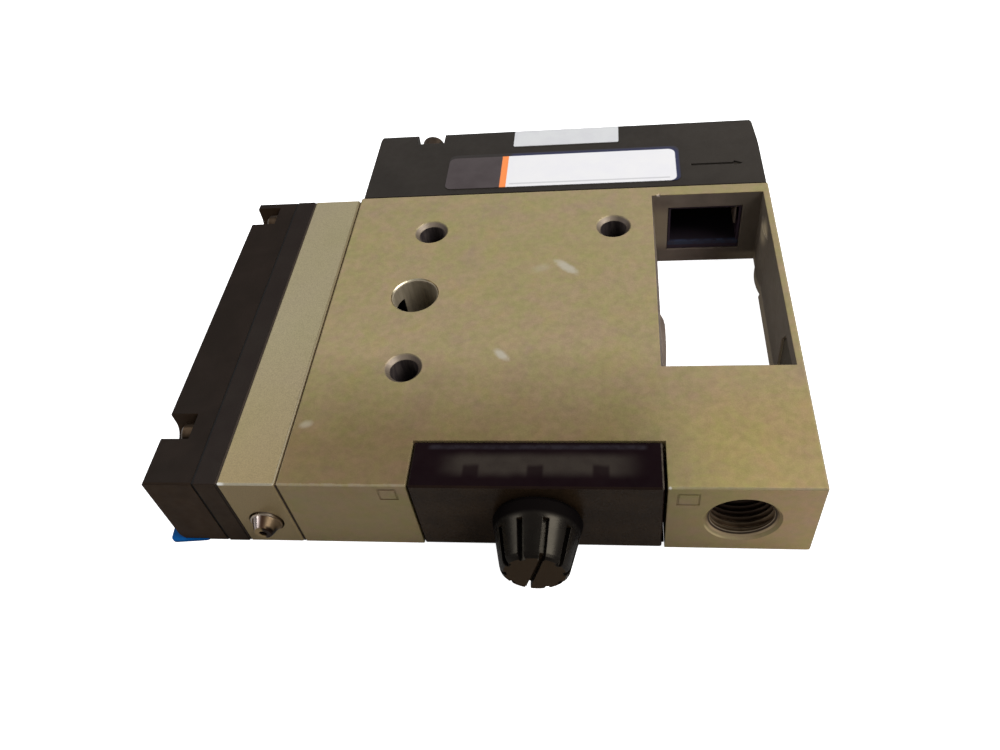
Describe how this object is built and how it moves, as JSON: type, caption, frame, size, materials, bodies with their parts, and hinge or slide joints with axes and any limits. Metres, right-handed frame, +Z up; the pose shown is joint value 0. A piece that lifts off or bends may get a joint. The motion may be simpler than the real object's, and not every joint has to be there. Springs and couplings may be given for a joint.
{
  "type": "vacuum ejector",
  "caption": "Flat stacking vacuum ejector: metal body with a through window, pipe port, smoky filter case with thumb knob, release needle, black end cover and silencer cover.",
  "frame": {"origin": "under the middle of the whole unit, on the plane of its flat underside", "axes": "+Z up out of the face with the countersunk holes, -Y towards the vacuum port and the knob, -X towards the black end cover"},
  "size_m": [0.096, 0.0926, 0.0156],
  "materials": {
    "body_metal": "fine satin, nickel coloured",
    "cover_plastic": "moulded black, fine texture",
    "gasket_rubber": "matt",
    "screw_steel": "zinc plated",
    "silencer_felt": "open foam",
    "nozzle_brass": "turned",
    "diffuser_metal": "turned",
    "smoked_plastic": "smoky translucent",
    "filter_media": "sintered",
    "knob_plastic": "moulded black, slight sheen",
    "stud_steel": "plain",
    "plate_metal": "sand-blasted",
    "needle_metal": "polished",
    "plate_plastic": "moulded black",
    "end_plastic": "moulded black",
    "label_print": "printed film",
    "small_label_print": "printed film",
    "blue_plastic": "smooth"
  },
  "bodies": {
    "unit": {"ejector_body": "body_metal", "rear_cover": "cover_plastic", "rear_cover_gasket": "gasket_rubber", "rear_cover_screws": "screw_steel", "silencer_element": "silencer_felt", "nozzle": "nozzle_brass", "nozzle_o_rings": "gasket_rubber", "diffuser": "diffuser_metal", "diffuser_o_ring": "gasket_rubber", "suction_passage_plug": "nozzle_brass", "filter_case": "smoked_plastic", "filter_case_gasket": "gasket_rubber", "filter_element": "filter_media", "knob_o_ring": "gasket_rubber", "adapter_plate": "plate_metal", "adapter_gasket": "gasket_rubber", "blanking_plate": "plate_plastic", "blanking_plate_gasket": "gasket_rubber", "end_cover": "end_plastic", "end_cover_gasket": "gasket_rubber", "end_cover_screws": "screw_steel", "main_label": "label_print", "number_label": "small_label_print", "blue_plug": "blue_plastic"},
    "knob": {"filter_knob": "knob_plastic", "knob_stud": "stud_steel"},
    "needle": {"release_needle": "needle_metal", "needle_o_ring": "gasket_rubber"}
  },
  "joints": [
    {"name": "knob_turn", "type": "hinge", "parent": "unit", "child": "knob", "pos_m": [0.01025, -0.0377, 0.00775], "axis": [0, -1, 0], "range_deg": [0, 1020]},
    {"name": "needle_turn", "type": "hinge", "parent": "unit", "child": "needle", "pos_m": [-0.0302, -0.0377, 0.0058], "axis": [0, -1, 0], "range_deg": [-645, 645]}
  ]
}
